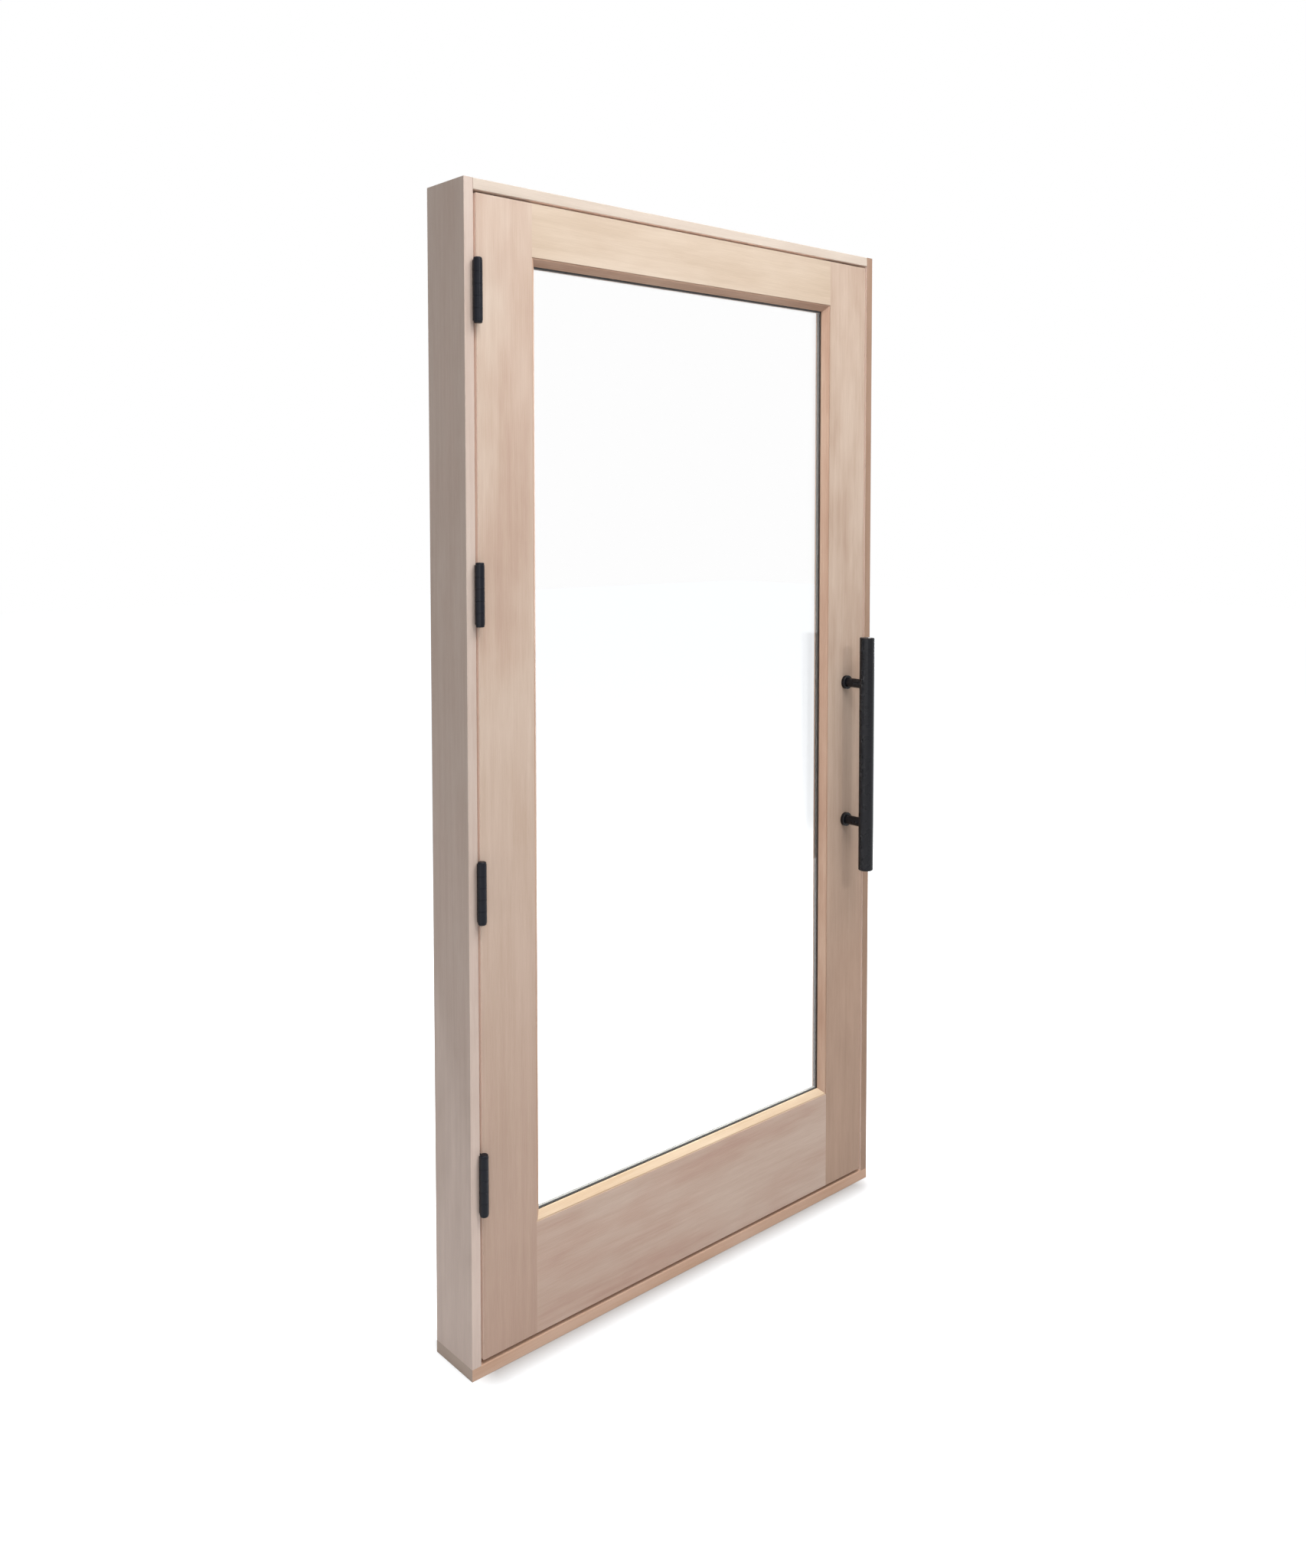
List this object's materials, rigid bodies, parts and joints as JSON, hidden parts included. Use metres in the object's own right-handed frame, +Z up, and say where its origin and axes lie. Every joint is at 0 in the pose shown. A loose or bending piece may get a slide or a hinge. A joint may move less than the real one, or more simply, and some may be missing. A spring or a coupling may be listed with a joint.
{
  "type": "sauna door in its frame",
  "caption": "Wooden stile-and-rail sauna door with a tall sealed glass lite, hung on black butt hinges in its own four-sided wooden frame, with a round black bar pull outside.",
  "frame": {"origin": "centre of the sill's underside, on the floor line of the wall opening", "axes": "+Z up; +X across the opening from the hinge jamb to the strike jamb; +Y from the outer (pull) side into the sauna, so the door opens towards -Y"},
  "size_m": [1.067, 0.192, 2.083],
  "materials": {
    "frame_wood": "clear softwood, planed and sanded, unfinished",
    "door_wood": "clear softwood, sanded, unfinished",
    "bead_wood": "clear softwood moulding, unfinished",
    "glass": "clear tempered float glass",
    "edge_seal": "dark grey edge seal",
    "hinge_metal": "black coated steel, satin",
    "pull_metal": "matt black powder coat on steel"
  },
  "bodies": {
    "frame": {"sill": "frame_wood", "hinge_jamb": "frame_wood", "strike_jamb": "frame_wood", "head_jamb": "frame_wood", "hinge_stop": "frame_wood", "strike_stop": "frame_wood", "head_stop": "frame_wood", "frame_leaf_top": "hinge_metal", "frame_leaf_upper": "hinge_metal", "frame_leaf_lower": "hinge_metal", "frame_leaf_bottom": "hinge_metal", "hinge_pin_top": "hinge_metal", "hinge_pin_upper": "hinge_metal", "hinge_pin_lower": "hinge_metal", "hinge_pin_bottom": "hinge_metal"},
    "door": {"hinge_stile": "door_wood", "lock_stile": "door_wood", "top_rail": "door_wood", "bottom_rail": "door_wood", "outer_pane": "glass", "inner_pane": "glass", "edge_seal": "edge_seal", "outer_bead_left": "bead_wood", "outer_bead_right": "bead_wood", "outer_bead_top": "bead_wood", "outer_bead_bottom": "bead_wood", "inner_bead_left": "bead_wood", "inner_bead_right": "bead_wood", "inner_bead_top": "bead_wood", "inner_bead_bottom": "bead_wood", "door_leaf_top": "hinge_metal", "door_leaf_upper": "hinge_metal", "door_leaf_lower": "hinge_metal", "door_leaf_bottom": "hinge_metal", "pull_bar": "pull_metal", "pull_post_top": "pull_metal", "pull_post_bottom": "pull_metal", "pull_cap_top": "pull_metal", "pull_cap_bottom": "pull_metal"}
  },
  "joints": [
    {"name": "door_swing", "type": "hinge", "parent": "frame", "child": "door", "pos_m": [-0.512, -0.0665, 1.121], "axis": [0, 0, -1], "range_deg": [0, 165]}
  ]
}
